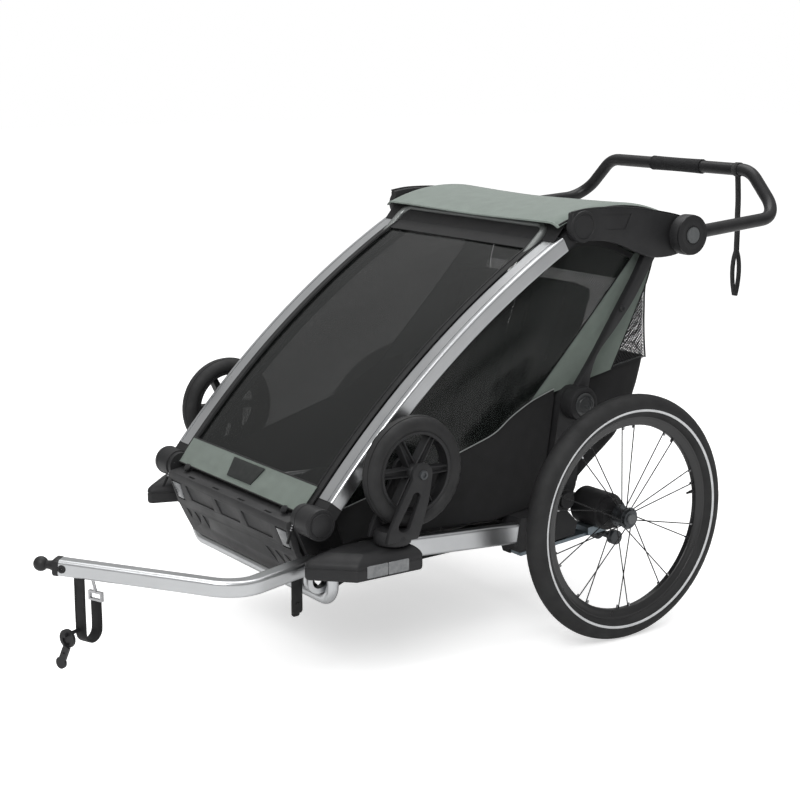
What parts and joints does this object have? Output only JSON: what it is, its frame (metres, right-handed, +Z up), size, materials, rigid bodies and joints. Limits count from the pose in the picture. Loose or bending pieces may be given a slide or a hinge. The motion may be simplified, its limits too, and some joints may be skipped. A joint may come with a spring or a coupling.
{
  "type": "child bicycle trailer",
  "caption": "Folding two-seat child trailer with spoked wheels, clear-windowed cabin, green roof, handlebar, bent hitch arm and stroller wheels stored on side pods.",
  "frame": {"origin": "on the ground, under the middle of the whole trailer's box", "axes": "+X to the trailer's left, +Y to its rear (handlebar end), +Z up; the hitch arm points towards -Y"},
  "size_m": [0.8, 1.62, 0.9235],
  "materials": {
    "frame_aluminium": "satin anodised",
    "dark_steel": "satin",
    "spring_steel": "satin",
    "black_plastic": "fine grained",
    "panel_plastic": "grained",
    "grey_button": "satin",
    "skirt_fabric": "coated woven",
    "clear_window": "smoky clear",
    "cover_window": "smoky clear",
    "green_fabric": "woven",
    "seat_fabric": "padded woven",
    "mesh_fabric": "open mesh",
    "webbing": "ribbed",
    "reflector": "prismatic",
    "hoop_grey": "satin",
    "tyre_rubber": "matte",
    "rim_black": "satin",
    "spoke_black": "satin",
    "hub_grey": "satin anodised",
    "grip_foam": "textured",
    "bar_black": "satin",
    "strap_rubber": "matte",
    "pin_steel": "satin"
  },
  "bodies": {
    "chassis": {"base_frame": "frame_aluminium", "axle_beam": "dark_steel", "axle_drums": "black_plastic", "leaf_springs": "spring_steel", "rear_uprights": "black_plastic", "front_panel": "panel_plastic", "floor_pan": "skirt_fabric", "side_skirts": "skirt_fabric", "side_windows": "clear_window", "rear_quarters": "green_fabric", "wing_pods": "black_plastic", "reflectors": "reflector", "front_brackets": "black_plastic", "seat_cushion": "seat_fabric", "seat_back": "seat_fabric", "harness": "webbing", "back_panel": "mesh_fabric", "rear_bag": "skirt_fabric", "hitch_receiver": "frame_aluminium", "hitch_arm": "frame_aluminium", "hitch_ball": "black_plastic", "safety_strap": "strap_rubber", "snap_ring": "pin_steel", "hitch_latch": "webbing", "brake_rod": "dark_steel"},
    "brake_pedal": {"brake_pedal": "black_plastic"},
    "lock_pin": {"lock_pin": "pin_steel"},
    "front_frame": {"front_pillars": "frame_aluminium", "pillar_knuckles": "black_plastic", "front_hoop": "hoop_grey", "front_cover": "cover_window", "cover_band": "green_fabric", "roof_lip": "green_fabric"},
    "top_frame": {"top_plates": "black_plastic", "roof": "green_fabric", "handle_hinges": "black_plastic"},
    "rear_frame": {"rear_legs": "black_plastic"},
    "handlebar": {"handlebar_tube": "bar_black", "handlebar_grip": "grip_foam", "wrist_strap": "webbing"},
    "wheel_left": {"tyre_left": "tyre_rubber", "rim_left": "rim_black", "spokes_left": "spoke_black", "hub_left": "hub_grey"},
    "hub_button_left": {"hub_button_left": "grey_button"},
    "handle_button_left": {"handle_button_left": "grey_button"},
    "fork_left": {"fork_left": "black_plastic"},
    "stroller_wheel_left": {"caster_tyre_left": "tyre_rubber", "caster_wheel_left": "black_plastic"},
    "pod_button_left": {"pod_button_left": "black_plastic"},
    "wheel_right": {"tyre_right": "tyre_rubber", "rim_right": "rim_black", "spokes_right": "spoke_black", "hub_right": "hub_grey"},
    "hub_button_right": {"hub_button_right": "grey_button"},
    "handle_button_right": {"handle_button_right": "grey_button"},
    "fork_right": {"fork_right": "black_plastic"},
    "stroller_wheel_right": {"caster_tyre_right": "tyre_rubber", "caster_wheel_right": "black_plastic"},
    "pod_button_right": {"pod_button_right": "black_plastic"}
  },
  "joints": [
    {"name": "fold", "type": "hinge", "parent": "chassis", "child": "front_frame", "pos_m": [0, -0.3515, 0.326], "axis": [1, 0, 0], "range_deg": [-19, 0], "deforming": ["side_windows", "seat_back", "harness", "rear_quarters", "back_panel", "rear_bag"]},
    {"name": "top_fold", "type": "hinge", "parent": "front_frame", "child": "top_frame", "pos_m": [0, 0.2485, 0.828], "axis": [1, 0, 0], "range_deg": [0, 37.53]},
    {"name": "rear_fold", "type": "hinge", "parent": "chassis", "child": "rear_frame", "pos_m": [0, 0.2605, 0.475], "axis": [1, 0, 0], "range_deg": [-30.44, 0]},
    {"name": "handlebar_tilt", "type": "hinge", "parent": "top_frame", "child": "handlebar", "pos_m": [0, 0.5085, 0.798], "axis": [1, 0, 0], "range_deg": [-30, 140]},
    {"name": "brake_pedal_press", "type": "hinge", "parent": "chassis", "child": "brake_pedal", "pos_m": [0, 0.3585, 0.183], "axis": [1, 0, 0], "range_deg": [-28, 0]},
    {"name": "lock_pin_pull", "type": "slide", "parent": "chassis", "child": "lock_pin", "axis": [0.3746, -0.9272, 0], "range_m": [0, 0.03]},
    {"name": "wheel_spin_left", "type": "hinge", "parent": "chassis", "child": "wheel_left", "pos_m": [0.3765, 0.3165, 0.25], "axis": [1, 0, 0], "continuous": true},
    {"name": "hub_button_push_left", "type": "slide", "parent": "wheel_left", "child": "hub_button_left", "axis": [-1, 0, 0], "range_m": [0, 0.003], "stiffness_N_per_m": 300},
    {"name": "handle_button_push_left", "type": "slide", "parent": "handlebar", "child": "handle_button_left", "axis": [-1, 0, 0], "range_m": [0, 0.0035], "stiffness_N_per_m": 400},
    {"name": "fork_lift_left", "type": "slide", "parent": "chassis", "child": "fork_left", "axis": [0, 0, 1], "range_m": [0, 0.06]},
    {"name": "stroller_wheel_spin_left", "type": "hinge", "parent": "fork_left", "child": "stroller_wheel_left", "pos_m": [0.345, -0.1835, 0.412], "axis": [1, 0, 0], "continuous": true},
    {"name": "pod_button_push_left", "type": "slide", "parent": "chassis", "child": "pod_button_left", "axis": [0, -1, 0], "range_m": [0, 0.004], "stiffness_N_per_m": 300},
    {"name": "wheel_spin_right", "type": "hinge", "parent": "chassis", "child": "wheel_right", "pos_m": [-0.3765, 0.3165, 0.25], "axis": [1, 0, 0], "continuous": true},
    {"name": "hub_button_push_right", "type": "slide", "parent": "wheel_right", "child": "hub_button_right", "axis": [1, 0, 0], "range_m": [0, 0.003], "stiffness_N_per_m": 300},
    {"name": "handle_button_push_right", "type": "slide", "parent": "handlebar", "child": "handle_button_right", "axis": [1, 0, 0], "range_m": [0, 0.0035], "stiffness_N_per_m": 400},
    {"name": "fork_lift_right", "type": "slide", "parent": "chassis", "child": "fork_right", "axis": [0, 0, 1], "range_m": [0, 0.06]},
    {"name": "stroller_wheel_spin_right", "type": "hinge", "parent": "fork_right", "child": "stroller_wheel_right", "pos_m": [-0.345, -0.1835, 0.412], "axis": [1, 0, 0], "continuous": true},
    {"name": "pod_button_push_right", "type": "slide", "parent": "chassis", "child": "pod_button_right", "axis": [0, -1, 0], "range_m": [0, 0.004], "stiffness_N_per_m": 300}
  ],
  "couplings": [
    {"joint": "top_fold", "follows": "fold", "ratio": -1.9595},
    {"joint": "rear_fold", "follows": "fold", "ratio": 1.5863}
  ]
}
